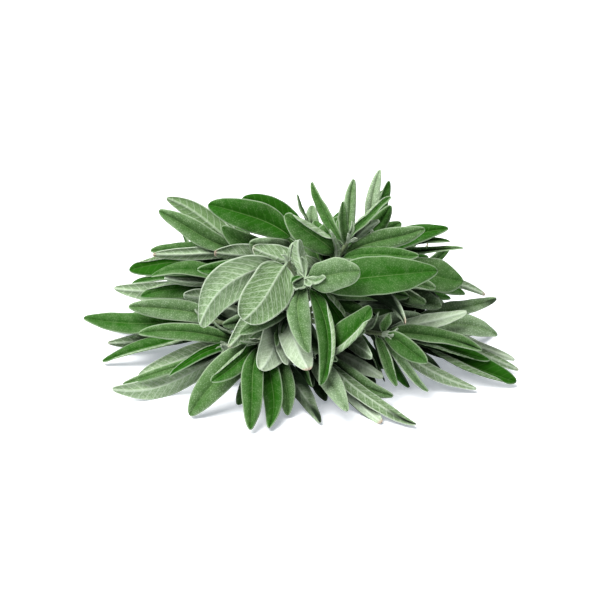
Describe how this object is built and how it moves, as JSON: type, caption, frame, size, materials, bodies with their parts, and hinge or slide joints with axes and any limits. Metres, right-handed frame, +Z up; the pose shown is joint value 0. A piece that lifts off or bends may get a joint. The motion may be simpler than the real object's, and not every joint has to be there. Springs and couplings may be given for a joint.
{
  "type": "sage sprig",
  "caption": "Bushy, much-branched sprig of garden sage lying in a low mound, with long felted leaves fanning out on all sides.",
  "frame": {"origin": "centre of the heap's box, on the surface it lies on", "axes": "+X along the heap's long side, -Y towards the viewer of its front, +Z up"},
  "size_m": [0.2624, 0.1898, 0.1116],
  "materials": {
    "leaf": "matte, finely felted",
    "stem": "matte"
  },
  "bodies": {
    "root": {"main_stem": "stem", "shoot_crown_right": "leaf", "shoot_crown_back": "leaf", "shoot_crown_left": "leaf", "shoot_crown_front": "leaf", "shoot_leader": "leaf", "shoot_middle": "leaf", "shoot_front": "leaf", "shoot_front_right": "leaf", "shoot_right_low": "leaf", "shoot_right_front": "leaf", "shoot_right_mid": "leaf", "shoot_upper_left": "leaf", "shoot_left_mid": "leaf", "shoot_left_low": "leaf", "shoot_left_front": "leaf", "shoot_back_left": "leaf", "shoot_back_right": "leaf", "shoot_back_mid": "leaf"}
  },
  "joints": []
}
